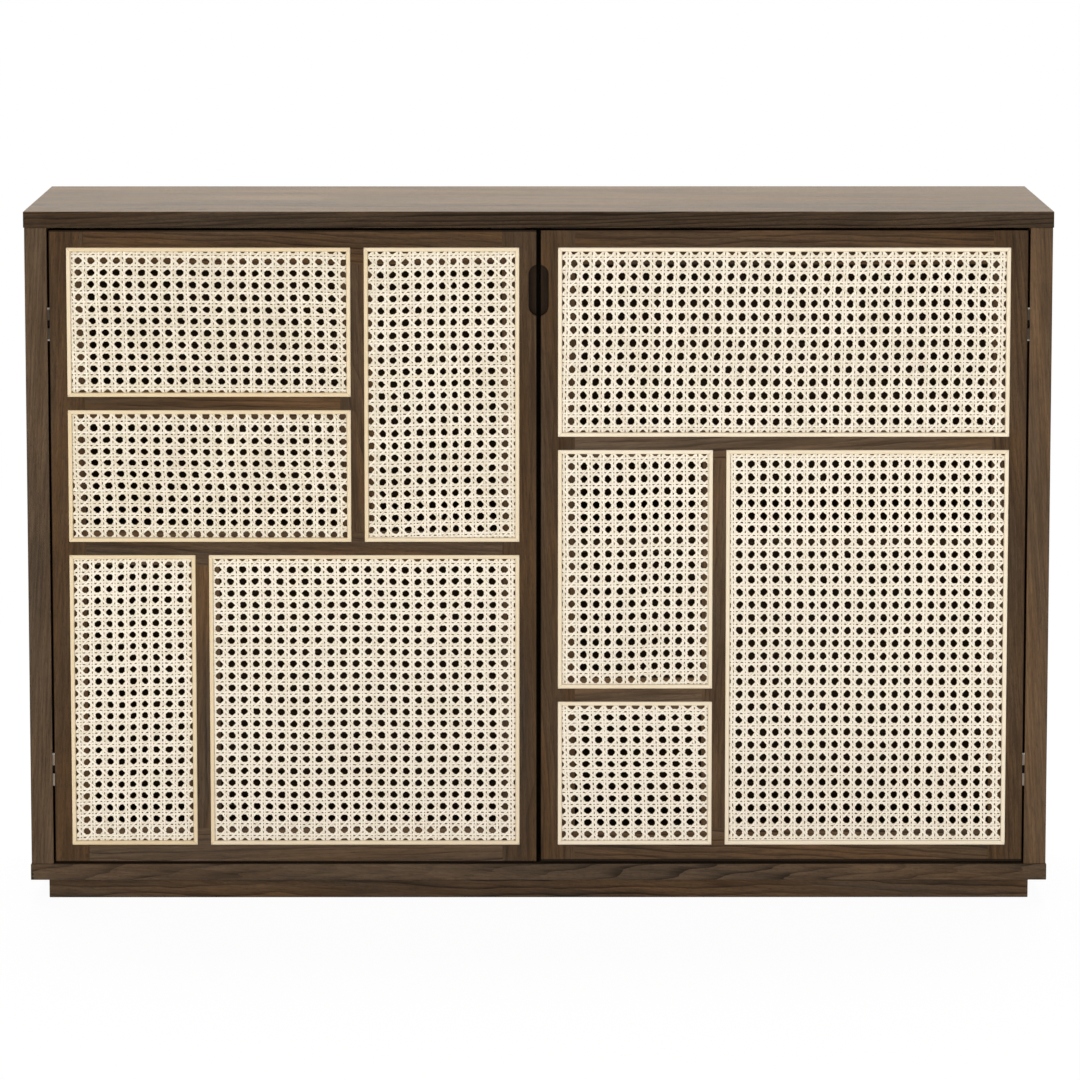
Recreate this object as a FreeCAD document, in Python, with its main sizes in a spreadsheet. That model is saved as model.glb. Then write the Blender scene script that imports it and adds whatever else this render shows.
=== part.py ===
import FreeCAD, Part
import math
import os
import Sketcher

Vector = FreeCAD.Vector
SMALL_ROD_SIDES = 10
FIT = "sizes.fit_clearance"

# Sideboard with two inset cane doors. X runs along the front, the front faces -Y, Z is up.
# The origin lies under the middle of the cabinet, on the floor. Lengths in mm, angles in degrees.

DRIVING = {
    # carcass
    "cabinet_width": 1200,  # over the top and bottom boards
    "cabinet_depth": 400,
    "opening_height": 753,  # height of the side panels
    "top_thickness": 19,
    "bottom_thickness": 19,
    "side_thickness": 26,
    "board_overhang": 1,  # top and bottom boards past the sides and doors
    "partition_thickness": 19,
    "partition_setback": 20,  # partition behind the backs of the doors
    "arris": 0.5,  # chamfer on the edges of the carcass boards
    "plinth_height": 25,
    "plinth_recess": 20,
    "plinth_thickness": 18,
    "back_thickness": 6,
    "back_inset": 10,  # back panel in front of the rear edges
    "back_groove": 8,  # how far the back panel reaches into each board
    "fit_clearance": 0.1,  # round tenons, hinge cases and pins in the wood
    # loose tenons between boards
    "tenon_reach": 12,  # depth in each of the two boards
    "tenon_width": 30,
    "tenon_thickness": 8,
    "tenon_spacing": 130,  # between the three tenons of a joint
    "plinth_tenon_spacing": 800,
    # shelves
    "shelf_thickness": 19,
    "shelf_height": 365,  # underside above the bottom board
    "shelf_side_gap": 1,
    "shelf_setback": 5,  # front edge behind the partition's front edge
    "pin_diameter": 5,
    "pin_reach": 7,  # in the wood, and under the shelf
    "pin_inset": 45,  # from the front and back edges of the shelf
    "pin_pitch": 32,
    "pin_positions": 3,
    # doors
    "door_thickness": 22,
    "side_gap": 2.5,  # between a door and the side panel
    "centre_gap": 5,
    "door_edge_gap": 3,  # above and below the doors
    "stock_width": 40,  # every stile, rail and bar
    "outer_face": 20,  # stile and rail face left outside the panels
    "bar_face": 15.5,  # face left between two panels
    "rebate_depth": 4,
    "frame_tenon_length": 15,
    "frame_tenon_thickness": 8,
    "frame_tenon_shoulder": 5,
    "left_upper_mullion_at": 358.8,  # middle of each bar from the door's lower left corner
    "left_lower_mullion_at": 175.8,
    "left_middle_rail_at": 373.3,
    "left_cross_bar_at": 544.3,
    "right_mullion_at": 209.4,
    "right_middle_rail_at": 497.3,
    "right_cross_bar_at": 199,
    # cane and bead
    "cane_thickness": 2,
    "cane_edge_gap": 0.5,  # cane to the wall of its rebate
    "cane_cell": 44,  # one opening of the net and its strands
    "cane_opening": 24,
    "bead_width": 5,
    "bead_proud": 0.5,
    "bead_chamfer": 1,
    "bead_gap": 0.1,  # bead to the wall of its rebate
    # finger pull shared by the two lock stiles
    "pull_width": 23.5,
    "pull_height": 60.5,
    "pull_depth": 14,
    "pull_lip": 5,  # depth at which the undercut starts
    "pull_undercut": 4,
    "pull_drop": 70,  # middle below the top of the doors
    # concealed hinges, turning about the line in the gap at the front of the door
    "hinge_inset": 110,  # middle of a hinge from the end of the door
    "hinge_length": 39,
    "hinge_width": 10,
    "hinge_cover": 2.5,  # wood left in front of the hinge
    "hinge_slit": 0.3,  # between the closed flanges
    "flange_thickness": 2.5,
    "hinge_window": 9.5,  # height left open for the arm
    "case_length": 24,
    "case_depth": 10.5,  # from the axis to the floor of the case
    "arm_inner_radius": 7.5,
    "arm_outer_radius": 10.5,
    "arm_angle": 117,
    "arm_clearance": 0.3,
    "arm_end_angle": 5,  # extra sweep of the channel
    "screw_spacing": 29,
    "screw_length": 14,
    "screw_diameter": 3,
    "screw_head_diameter": 5.4,
    "screw_head_height": 1.5,
    "screw_clearance": 0.05,
    # magnetic catches
    "catch_width": 40,
    "catch_depth": 16,
    "catch_height": 13,
    "catch_offset": 6,  # from the partition
    "strike_thickness": 1.2,
    "strike_border": 3,  # catch past the ends of the strike plate
    "strike_top_inset": 1,  # strike plate below the top of the door
    "catch_gap": 0.3,
}

# Lines that several pieces share, worked out from the driving sizes.
WORKED = {
    "side_outer": "sizes.cabinet_width / 2 - sizes.board_overhang",
    "side_inner": "side_outer - sizes.side_thickness",
    "front": "-sizes.cabinet_depth / 2",
    "back": "sizes.cabinet_depth / 2",
    "bottom_top": "sizes.plinth_height + sizes.bottom_thickness",
    "top_underside": "bottom_top + sizes.opening_height",
    "partition_half": "sizes.partition_thickness / 2",
    "back_panel_rear": "back - sizes.back_inset",
    "back_panel_front": "back_panel_rear - sizes.back_thickness",
    "door_front": "front + sizes.board_overhang",
    "door_back": "door_front + sizes.door_thickness",
    "partition_front": "door_back + sizes.partition_setback",
    "door_width": "side_inner - sizes.side_gap - sizes.centre_gap / 2",
    "door_height": "sizes.opening_height - 2 * sizes.door_edge_gap",
    "door_low": "bottom_top + sizes.door_edge_gap",
    "door_high": "top_underside - sizes.door_edge_gap",
    "left_door_start": "-side_inner + sizes.side_gap",
    "right_door_start": "sizes.centre_gap / 2",
    "ledge": "door_front + sizes.rebate_depth",
    "frame_tenon_front": "(ledge + door_back - sizes.frame_tenon_thickness) / 2",
    "frame_tenon_back": "frame_tenon_front + sizes.frame_tenon_thickness",
    "bead_front": "door_front - sizes.bead_proud",
    "cane_front": "ledge - sizes.cane_thickness",
    "shelf_front": "partition_front + sizes.shelf_setback",
    "shelf_back": "back_panel_front - sizes.shelf_side_gap",
    "shelf_underside": "bottom_top + sizes.shelf_height",
    "pin_height": "shelf_underside - sizes.pin_diameter / 2 - sizes.fit_clearance",
    "hinge_axis": "side_inner - sizes.side_gap / 2",
    "hinge_low": "door_low + sizes.hinge_inset",
    "hinge_high": "door_high - sizes.hinge_inset",
    "flange_face": "sizes.hinge_slit / 2",
    "flange_floor": "flange_face + sizes.flange_thickness",
    "hinge_rear": "sizes.hinge_cover + sizes.hinge_width",
    "hinge_middle": "sizes.hinge_cover + sizes.hinge_width / 2",
    "pull_middle": "door_high - sizes.pull_drop",
    "catch_front": "door_back + sizes.strike_thickness + sizes.catch_gap",
}

document = FreeCAD.newDocument("cane_sideboard")


def fill_sheet(name, cells, prefix):
    """A sheet of named cells, one to a row."""
    sheet = document.addObject("Spreadsheet::Sheet", name)
    for row, (alias, content) in enumerate(cells.items(), 1):
        sheet.set(f"A{row}", alias.replace("_", " "))
        sheet.set(f"B{row}", f"{prefix}{content}")
        sheet.setAlias(f"B{row}", alias)
    document.recompute()
    return sheet


sizes = fill_sheet("sizes", DRIVING, "")
worked = fill_sheet("worked", WORKED, "=")
nodes = {}


def node(label, piece):
    """Names a finished sub-part."""
    piece.Label = label
    nodes[label] = piece


def block(name, x, y, z):
    """A block between a low and a high expression on each axis."""
    piece = document.addObject("Part::Box", name)
    for axis, side, (low, high) in zip("xyz", ("Length", "Width", "Height"), (x, y, z)):
        piece.setExpression(f"Placement.Base.{axis}", low)
        piece.setExpression(side, f"({high}) - ({low})")
    return piece


def drill(name, place, diameter, length):
    """A cylinder towards the rear from a place of three expressions."""
    piece = document.addObject("Part::Cylinder", name)
    piece.Placement.Rotation = FreeCAD.Rotation(Vector(1, 0, 0), -90)
    for axis, rule in zip("xyz", place):
        piece.setExpression(f"Placement.Base.{axis}", rule)
    piece.setExpression("Radius", f"({diameter}) / 2")
    piece.setExpression("Height", length)
    return piece


def small_rod(name, place, diameter, length):
    """A pin or screw along X from a place of three expressions, drawn with a few flat sides."""
    piece = document.addObject("Part::Prism", name)
    piece.Polygon = SMALL_ROD_SIDES
    piece.Placement.Rotation = FreeCAD.Rotation(Vector(0, 1, 0), 90)
    for axis, rule in zip("xyz", place):
        piece.setExpression(f"Placement.Base.{axis}", rule)
    piece.setExpression("Circumradius", f"({diameter}) / 2")
    piece.setExpression("Height", length)
    return piece


def compound(name, pieces):
    group = document.addObject("Part::Compound", name)
    group.Links = pieces
    return group


def fuse(name, pieces):
    joined = document.addObject("Part::MultiFuse", name)
    joined.Shapes = pieces
    joined.Refine = True
    return joined


def cut(name, base, tool):
    remainder = document.addObject("Part::Cut", name)
    remainder.Base = base
    remainder.Tool = tool
    return remainder


def rectangle(sketch, width, height):
    """A rectangle from the sketch's origin, its sides bound to two expressions."""
    corners = [Vector(0, 0, 0), Vector(1, 0, 0), Vector(1, 1, 0), Vector(0, 1, 0)]
    for index, corner in enumerate(corners):
        sketch.addGeometry(Part.LineSegment(corner, corners[(index + 1) % 4]))
    for index in range(4):
        sketch.addConstraint(Sketcher.Constraint("Coincident", index, 2, (index + 1) % 4, 1))
        sketch.addConstraint(Sketcher.Constraint(("Horizontal", "Vertical")[index % 2], index))
    sketch.addConstraint(Sketcher.Constraint("Coincident", 0, 1, -1, 1))
    for kind, line, rule in (("DistanceX", 0, width), ("DistanceY", 1, height)):
        constraint = sketch.addConstraint(Sketcher.Constraint(kind, line, 1, line, 2, 1))
        sketch.setExpression(f"Constraints[{constraint}]", rule)


def board(name, x, y, z):
    """A planed board between low and high expressions, with its edges broken by the arris."""
    body = document.addObject("PartDesign::Body", name)
    outline = body.newObject("Sketcher::SketchObject", name + "_outline")
    plane = next(item for item in body.Origin.OriginFeatures if item.Role == "XY_Plane")
    outline.AttachmentSupport = (plane, [""])
    outline.MapMode = "FlatFace"
    rectangle(outline, f"({x[1]}) - ({x[0]})", f"({y[1]}) - ({y[0]})")
    pad = body.newObject("PartDesign::Pad", name + "_pad")
    pad.Profile = outline
    pad.setExpression("Length", f"({z[1]}) - ({z[0]})")
    document.recompute()
    edges = body.newObject("PartDesign::Chamfer", name + "_arris")
    edges.Base = (pad, [""])
    edges.UseAllEdges = True
    edges.setExpression("Size", "sizes.arris")
    for axis, (low, _) in zip("xyz", (x, y, z)):
        body.setExpression(f"Placement.Base.{axis}", low)
    return body


def grown(span, clearance):
    """A low and high pair moved apart by a clearance."""
    return (f"({span[0]}) - {clearance}", f"({span[1]}) + {clearance}")


def around(middle, width):
    """A low and high pair about a middle."""
    return (f"({middle}) - ({width}) / 2", f"({middle}) + ({width}) / 2")


def copies(source, mirrored, places):
    """Copies of a master shape, mirrored across X where asked, one at each place."""
    form = source.Shape.mirror(Vector(0, 0, 0), Vector(1, 0, 0)) if mirrored else source.Shape
    return [form.translated(place) for place in places]


def group(label, shapes):
    """Several solids of one kind, kept as one sub-part."""
    piece = document.addObject("Part::Feature", label)
    piece.Shape = Part.makeCompound(shapes)
    return piece


# Loose tenons: three in each joint of a side or the partition, and a few in the plinth.
tenons = []
tenon_slots = []


def loose_tenon(x, y, z):
    name = f"tenon_{len(tenons) + 1}"
    tenons.append(block(name, x, y, z))
    spans = [grown(span, FIT) for span in (x, y, z)]
    tenon_slots.append(block(name + "_slot", *spans))


upright_middle = "worked.side_inner + sizes.side_thickness / 2"
for upright in (f"-({upright_middle})", "0", upright_middle):
    for joint in ("worked.bottom_top", "worked.top_underside"):
        for step in (-1, 0, 1):
            loose_tenon(
                around(upright, "sizes.tenon_thickness"),
                around(f"{step} * sizes.tenon_spacing", "sizes.tenon_width"),
                around(joint, "2 * sizes.tenon_reach"),
            )

plinth_outer_x = "sizes.cabinet_width / 2 - sizes.plinth_recess"
plinth_outer_y = "sizes.cabinet_depth / 2 - sizes.plinth_recess"
plinth_joint = around("sizes.plinth_height", "2 * sizes.tenon_reach")
for sign in (-1, 1):
    long_middle = f"{sign} * ({plinth_outer_y} - sizes.plinth_thickness / 2)"
    for step in (-1, 1):
        along = f"{step} * sizes.plinth_tenon_spacing / 2"
        loose_tenon(
            around(along, "sizes.tenon_width"), around(long_middle, "sizes.tenon_thickness"), plinth_joint
        )
    end_middle = f"{sign} * ({plinth_outer_x} - sizes.plinth_thickness / 2)"
    loose_tenon(
        around(end_middle, "sizes.tenon_thickness"), around("0", "sizes.tenon_width"), plinth_joint
    )
node("loose_tenons", compound("loose_tenons", tenons))

# Back panel, held in a groove all round.
back_reach = "worked.side_inner + sizes.back_groove"
back_span = (
    (f"-({back_reach})", back_reach),
    ("worked.back_panel_front", "worked.back_panel_rear"),
    ("worked.bottom_top - sizes.back_groove", "worked.top_underside + sizes.back_groove"),
)
node("back_panel", block("back_panel", *back_span))
back_slot = block("back_slot", *[grown(span, FIT) for span in back_span])

# Concealed hinge. One half is drawn with the axis on Z: +X into its own wood, +Y to the rear.
flange_x = ("worked.flange_face", "worked.flange_floor")
case_x = ("worked.flange_floor", "sizes.case_depth")
hinge_y = ("sizes.hinge_cover", "worked.hinge_rear")
flange_z = around("0", "sizes.hinge_length")
case_z = around("0", "sizes.case_length")


def annular_sector(name, inner, outer, angle, height):
    """A slice of a tube about Z, centred on +Y."""
    discs = []
    for part, radius in (("outer", outer), ("inner", inner)):
        disc = document.addObject("Part::Cylinder", f"{name}_{part}")
        disc.setExpression("Radius", radius)
        disc.setExpression("Height", height)
        disc.setExpression("Placement.Base.z", f"-({height}) / 2")
        discs.append(disc)
    discs[0].setExpression("Angle", angle)
    discs[0].setExpression("Placement.Rotation.Angle", f"90 - ({angle}) / 2")
    return cut(name, *discs)


def screw_at(name, height, clearance):
    """A screw along +X with its head sunk level with the flange, grown by a clearance."""
    place = ("worked.flange_face", "worked.hinge_middle", height)
    head_diameter = f"sizes.screw_head_diameter + 2 * {clearance}"
    head_height = f"sizes.screw_head_height + {clearance}"
    shank_diameter = f"sizes.screw_diameter + 2 * {clearance}"
    head = small_rod(name + "_head", place, head_diameter, head_height)
    shank = small_rod(name + "_shank", place, shank_diameter, "sizes.screw_length")
    return fuse(name, [head, shank])


screw_heights = ("-sizes.screw_spacing / 2", "sizes.screw_spacing / 2")
screw_pair = compound(
    "screw_pair", [screw_at(f"screw_{n}", at, "0") for n, at in enumerate(screw_heights)]
)
hinge_form = fuse(
    "hinge_form",
    [block("flange", flange_x, hinge_y, flange_z), block("hinge_case", case_x, hinge_y, case_z)],
)
arm_channel = annular_sector(
    "arm_channel",
    "sizes.arm_inner_radius - sizes.arm_clearance",
    "sizes.arm_outer_radius + sizes.arm_clearance",
    "sizes.arm_angle + sizes.arm_end_angle",
    "sizes.hinge_window",
)
flange_window = block("flange_window", ("0", flange_x[1]), hinge_y, around("0", "sizes.hinge_window"))
hinge_cuts = [arm_channel, flange_window]
hinge_cuts += [
    screw_at(f"screw_hole_{n}", at, "sizes.screw_clearance") for n, at in enumerate(screw_heights)
]
hinge_half = cut("hinge_half", hinge_form, compound("hinge_cuts", hinge_cuts))
hinge_arm = annular_sector(
    "hinge_arm",
    "sizes.arm_inner_radius",
    "sizes.arm_outer_radius",
    "sizes.arm_angle",
    "sizes.hinge_window - 2 * sizes.arm_clearance",
)
mortise_y = grown(hinge_y, FIT)
hinge_mortise = fuse(
    "hinge_mortise",
    [
        block("flange_mortise", ("0", f"worked.flange_floor + {FIT}"), mortise_y, grown(flange_z, FIT)),
        block("case_mortise", ("0", f"sizes.case_depth + {FIT}"), mortise_y, grown(case_z, FIT)),
    ],
)
document.recompute()

hinge_heights = (worked.hinge_low, worked.hinge_high)
hinge_places = {
    side: [Vector(sign * worked.hinge_axis, worked.door_front, height) for height in hinge_heights]
    for side, sign in (("left", -1), ("right", 1))
}
jamb_screws = []
mortises = {}
for side, places in hinge_places.items():
    on_left = side == "left"
    node(f"{side}_hinge_cases", group(f"{side}_hinge_cases", copies(hinge_half, on_left, places)))
    node(
        f"{side}_door_hinge_cases",
        group(f"{side}_door_hinge_cases", copies(hinge_half, not on_left, places)),
    )
    node(f"{side}_hinge_arms", group(f"{side}_hinge_arms", copies(hinge_arm, False, places)))
    jamb_screws += copies(screw_pair, on_left, places)
    node(
        f"{side}_door_hinge_screws",
        group(f"{side}_door_hinge_screws", copies(screw_pair, not on_left, places)),
    )
    for owner, mirrored in (("side", on_left), ("door", not on_left)):
        shapes = copies(hinge_mortise, mirrored, places)
        mortises[side, owner] = group(f"{side}_{owner}_hinge_mortises", shapes)
node("carcass_hinge_screws", group("carcass_hinge_screws", jamb_screws))

# Shelves and the pins that carry them. Each upright has short rows of pin holes.
pins = []
pin_holes = []
shelf_faces = (
    ("left", "-worked.side_inner", "-worked.partition_half"),
    ("right", "worked.partition_half", "worked.side_inner"),
)
pin_rows = (
    "worked.shelf_front + sizes.pin_inset",
    "worked.shelf_back - sizes.pin_inset",
)
for side, low_face, high_face in shelf_faces:
    for row in pin_rows:
        for face in (low_face, high_face):
            name = f"pin_{len(pins) + 1}"
            place = (f"{face} - sizes.pin_reach", row, "worked.pin_height")
            pins.append(small_rod(name, place, "sizes.pin_diameter", "2 * sizes.pin_reach"))
            for position in range(int(sizes.pin_positions)):
                rise = f"({position} - (sizes.pin_positions - 1) / 2) * sizes.pin_pitch"
                height = f"worked.pin_height + {rise}"
                hole = small_rod(
                    f"{name}_hole_{position}",
                    (f"{place[0]} - {FIT}", row, height),
                    f"sizes.pin_diameter + 2 * {FIT}",
                    f"2 * (sizes.pin_reach + {FIT})",
                )
                pin_holes.append(hole)
    shelf_x = (f"{low_face} + sizes.shelf_side_gap", f"{high_face} - sizes.shelf_side_gap")
    shelf_y = ("worked.shelf_front", "worked.shelf_back")
    shelf_z = ("worked.shelf_underside", "worked.shelf_underside + sizes.shelf_thickness")
    node(f"{side}_shelf", board(f"{side}_shelf_board", shelf_x, shelf_y, shelf_z))
node("shelf_pins", compound("shelf_pins", pins))

# Carcass boards, each less the joints and fittings that are let into it.
carcass_cuts = compound(
    "carcass_cuts",
    tenon_slots + pin_holes + [back_slot, mortises["left", "side"], mortises["right", "side"]],
)
whole_width = ("-sizes.cabinet_width / 2", "sizes.cabinet_width / 2")
whole_depth = ("worked.front", "worked.back")
upright_height = ("worked.bottom_top", "worked.top_underside")
side_depth = ("worked.door_front", "worked.back")
plinth_rise = ("0", "sizes.plinth_height")
plinth_inner_y = f"{plinth_outer_y} - sizes.plinth_thickness"
plinth_inner_x = f"{plinth_outer_x} - sizes.plinth_thickness"
plinth_long = (f"-({plinth_outer_x})", plinth_outer_x)
plinth_short = (f"-({plinth_inner_y})", plinth_inner_y)
carcass_boards = {
    "top_panel": (
        whole_width,
        whole_depth,
        ("worked.top_underside", "worked.top_underside + sizes.top_thickness"),
    ),
    "bottom_panel": (whole_width, whole_depth, ("sizes.plinth_height", "worked.bottom_top")),
    "left_side_panel": (("-worked.side_outer", "-worked.side_inner"), side_depth, upright_height),
    "right_side_panel": (("worked.side_inner", "worked.side_outer"), side_depth, upright_height),
    "centre_partition": (
        ("-worked.partition_half", "worked.partition_half"),
        ("worked.partition_front", "worked.back_panel_front"),
        upright_height,
    ),
    "plinth_front": (plinth_long, (f"-({plinth_outer_y})", f"-({plinth_inner_y})"), plinth_rise),
    "plinth_back": (plinth_long, (plinth_inner_y, plinth_outer_y), plinth_rise),
    "plinth_left": ((f"-({plinth_outer_x})", f"-({plinth_inner_x})"), plinth_short, plinth_rise),
    "plinth_right": ((plinth_inner_x, plinth_outer_x), plinth_short, plinth_rise),
}
for label, spans in carcass_boards.items():
    node(label, cut(label, board(label + "_board", *spans), carcass_cuts))

# Finger pull: a round-ended recess across both lock stiles, undercut for the fingertip.


def pull_recess(name, radius, depth_low, depth_high):
    """A round-ended slot along Z between two depths from the front of the doors."""
    y = (f"worked.door_front + {depth_low}", f"worked.door_front + {depth_high}")
    straight = around("worked.pull_middle", "sizes.pull_height - sizes.pull_width")
    parts = [block(name + "_middle", (f"-({radius})", radius), y, straight)]
    for number, height in enumerate(straight):
        place = ("0", y[0], height)
        depth = f"{depth_high} - {depth_low}"
        parts.append(drill(f"{name}_end_{number}", place, f"2 * ({radius})", depth))
    return parts


pull_radius = "sizes.pull_width / 2"
pull_cut = fuse(
    "pull_cut",
    pull_recess("pull_mouth", pull_radius, "0", "sizes.pull_depth")
    + pull_recess(
        "pull_hollow", f"{pull_radius} + sizes.pull_undercut", "sizes.pull_lip", "sizes.pull_depth"
    ),
)

# Door frames. A door's own u runs from its left edge and w from its lower edge.
left_bars = {
    "middle_rail": ("rail", "sizes.left_middle_rail_at"),
    "upper_mullion": ("mullion", "sizes.left_upper_mullion_at"),
    "cross_bar": ("rail", "sizes.left_cross_bar_at"),
    "lower_mullion": ("mullion", "sizes.left_lower_mullion_at"),
}
right_bars = {
    "middle_rail": ("rail", "sizes.right_middle_rail_at"),
    "mullion": ("mullion", "sizes.right_mullion_at"),
    "cross_bar": ("rail", "sizes.right_cross_bar_at"),
}
inner_u = ("sizes.stock_width", "worked.door_width - sizes.stock_width")
inner_w = ("sizes.stock_width", "worked.door_height - sizes.stock_width")
face_u = ("sizes.outer_face", "worked.door_width - sizes.outer_face")
face_w = ("sizes.outer_face", "worked.door_height - sizes.outer_face")


def bar_runs(bars, runs):
    """Each inner bar's u and w spans: across the grain from its place, along it from runs."""
    spans = {}
    for name, (kind, middle) in bars.items():
        across = around(middle, "sizes.stock_width")
        spans[name] = (kind, runs[name], across) if kind == "rail" else (kind, across, runs[name])
    return spans


left_middle = around("sizes.left_middle_rail_at", "sizes.stock_width")
left_upper = around("sizes.left_upper_mullion_at", "sizes.stock_width")
right_middle = around("sizes.right_middle_rail_at", "sizes.stock_width")
right_mullion = around("sizes.right_mullion_at", "sizes.stock_width")
left_runs = {
    "middle_rail": inner_u,
    "upper_mullion": (left_middle[1], inner_w[1]),
    "cross_bar": (inner_u[0], left_upper[0]),
    "lower_mullion": (inner_w[0], left_middle[0]),
}
right_runs = {
    "middle_rail": inner_u,
    "mullion": (inner_w[0], right_middle[0]),
    "cross_bar": (inner_u[0], right_mullion[0]),
}


def panel_edges(bars, name):
    """The two edges of a bar's visible face."""
    return around(bars[name][1], "sizes.bar_face")


left_rail_face = panel_edges(left_bars, "middle_rail")
left_upper_face = panel_edges(left_bars, "upper_mullion")
left_cross_face = panel_edges(left_bars, "cross_bar")
left_lower_face = panel_edges(left_bars, "lower_mullion")
left_panels = {
    "top": ((face_u[0], left_upper_face[0]), (left_cross_face[1], face_w[1])),
    "second": ((face_u[0], left_upper_face[0]), (left_rail_face[1], left_cross_face[0])),
    "tall": ((left_upper_face[1], face_u[1]), (left_rail_face[1], face_w[1])),
    "narrow": ((face_u[0], left_lower_face[0]), (face_w[0], left_rail_face[0])),
    "large": ((left_lower_face[1], face_u[1]), (face_w[0], left_rail_face[0])),
}
right_rail_face = panel_edges(right_bars, "middle_rail")
right_mullion_face = panel_edges(right_bars, "mullion")
right_cross_face = panel_edges(right_bars, "cross_bar")
right_panels = {
    "wide": (face_u, (right_rail_face[1], face_w[1])),
    "second": ((face_u[0], right_mullion_face[0]), (right_cross_face[1], right_rail_face[0])),
    "small": ((face_u[0], right_mullion_face[0]), (face_w[0], right_cross_face[0])),
    "large": ((right_mullion_face[1], face_u[1]), (face_w[0], right_rail_face[0])),
}


def in_door(start, u, w):
    """A door's own spans as the cabinet's X and Z spans."""
    x = tuple(f"{start} + {value}" for value in u)
    z = tuple(f"worked.door_low + {value}" for value in w)
    return x, z


def tenon_spans(kind, u, w):
    """The two tenons of a bar, each as its u and w span and the end that meets the shoulder."""
    long, wide = (u, w) if kind == "rail" else (w, u)
    shoulder = (
        f"{wide[0]} + sizes.frame_tenon_shoulder",
        f"{wide[1]} - sizes.frame_tenon_shoulder",
    )
    reach = "sizes.frame_tenon_length"
    ends = ((f"{long[0]} - {reach}", long[0]), (long[1], f"{long[1]} + {reach}"))
    return [(end, shoulder) if kind == "rail" else (shoulder, end) for end in ends]


def mortise_spans(kind, number, u, w):
    """A tenon's spans grown by the fit, but not into the bar it belongs to."""
    long, wide = (u, w) if kind == "rail" else (w, u)
    far = (f"{long[0]} - {FIT}", long[1]) if number == 0 else (long[0], f"{long[1]} + {FIT}")
    return (far, grown(wide, FIT)) if kind == "rail" else (grown(wide, FIT), far)


def door_frame(side, start, members, panels, fittings):
    """Cuts every member of a door for its neighbours' tenons, the panels and the fittings."""
    thickness = ("worked.door_front", "worked.door_back")
    tenon_depth = ("worked.frame_tenon_front", "worked.frame_tenon_back")
    tools = list(fittings)
    for name, (u, w) in panels.items():
        x, z = in_door(start, u, w)
        tools.append(block(f"{side}_{name}_rebate", x, ("worked.door_front", "worked.ledge"), z))
    own_tenons = {}
    for name, (kind, u, w) in members.items():
        own_tenons[name] = []
        if kind == "stile":
            continue
        for number, (tenon_u, tenon_w) in enumerate(tenon_spans(kind, u, w)):
            x, z = in_door(start, tenon_u, tenon_w)
            tenon = block(f"{side}_{name}_tenon_{number}", x, tenon_depth, z)
            own_tenons[name].append(tenon)
            x, z = in_door(start, *mortise_spans(kind, number, tenon_u, tenon_w))
            slot_depth = grown(tenon_depth, FIT)
            tools.append(block(f"{side}_{name}_mortise_{number}", x, slot_depth, z))
    all_cuts = compound(f"{side}_door_cuts", tools)
    for name, (kind, u, w) in members.items():
        label = f"{side}_door_{name}"
        x, z = in_door(start, u, w)
        shaped = cut(label + "_shaped", block(label + "_blank", x, thickness, z), all_cuts)
        pieces = own_tenons[name]
        node(label, fuse(label, [shaped] + pieces) if pieces else shaped)


def outer_members(left_name, right_name):
    """The two stiles and the top and bottom rail of a door."""
    whole_w = ("0", "worked.door_height")
    return {
        left_name: ("stile", ("0", "sizes.stock_width"), whole_w),
        right_name: ("stile", (inner_u[1], "worked.door_width"), whole_w),
        "top_rail": ("rail", inner_u, (inner_w[1], "worked.door_height")),
        "bottom_rail": ("rail", inner_u, ("0", "sizes.stock_width")),
    }


doors = {
    "left": (
        "worked.left_door_start",
        outer_members("hinge_stile", "lock_stile") | bar_runs(left_bars, left_runs),
        left_panels,
    ),
    "right": (
        "worked.right_door_start",
        outer_members("lock_stile", "hinge_stile") | bar_runs(right_bars, right_runs),
        right_panels,
    ),
}
for side, (start, members, panels) in doors.items():
    door_frame(side, start, members, panels, [pull_cut, mortises[side, "door"]])

# Cane and beads. Their spans are read from the sheets as numbers.


def number_of(rule):
    """The value of an expression on the sheets."""
    return float(sizes.evalExpression(rule))


def loop(points):
    return Part.makePolygon(list(points) + [points[0]])


def strip_between(first, last):
    """A straight strip between two end outlines that have as many corners each."""
    outlines = [first, last]
    for index, corner in enumerate(first):
        following = (index + 1) % len(first)
        outlines.append([corner, first[following], last[following], last[index]])
    solid = Part.makeSolid(Part.makeShell([Part.Face(loop(outline)) for outline in outlines]))
    return solid if solid.Volume > 0 else solid.reversed()


def cane_panel(label, x, z):
    """A sheet of cane on its ledge, with a grid of eight-sided openings inside the bead."""
    front = worked.cane_front
    edge = sizes.cane_edge_gap

    def at(point_x, point_z):
        return Vector(point_x, front, point_z)

    low_x, high_x = x[0] + edge, x[1] - edge
    low_z, high_z = z[0] + edge, z[1] - edge
    wires = [loop([at(low_x, low_z), at(high_x, low_z), at(high_x, high_z), at(low_x, high_z)])]
    across = int((x[1] - x[0] - 2 * sizes.bead_width) / sizes.cane_cell)
    upward = int((z[1] - z[0] - 2 * sizes.bead_width) / sizes.cane_cell)
    half = sizes.cane_opening / 2
    short = half * math.tan(math.pi / 8)
    turn = [(half, -short), (half, short), (short, half), (-short, half)]
    octagon = turn + [(-u, -w) for u, w in turn]
    for column in range(across):
        for row in range(upward):
            middle_x = (x[0] + x[1]) / 2 + (column - (across - 1) / 2) * sizes.cane_cell
            middle_z = (z[0] + z[1]) / 2 + (row - (upward - 1) / 2) * sizes.cane_cell
            wires.append(loop([at(middle_x + u, middle_z + w) for u, w in octagon]))
    sheet = Part.makeFace(wires, "Part::FaceMakerBullseye")
    piece = document.addObject("Part::Feature", label)
    piece.Shape = sheet.extrude(Vector(0, sizes.cane_thickness, 0))
    node(label, piece)


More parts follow.
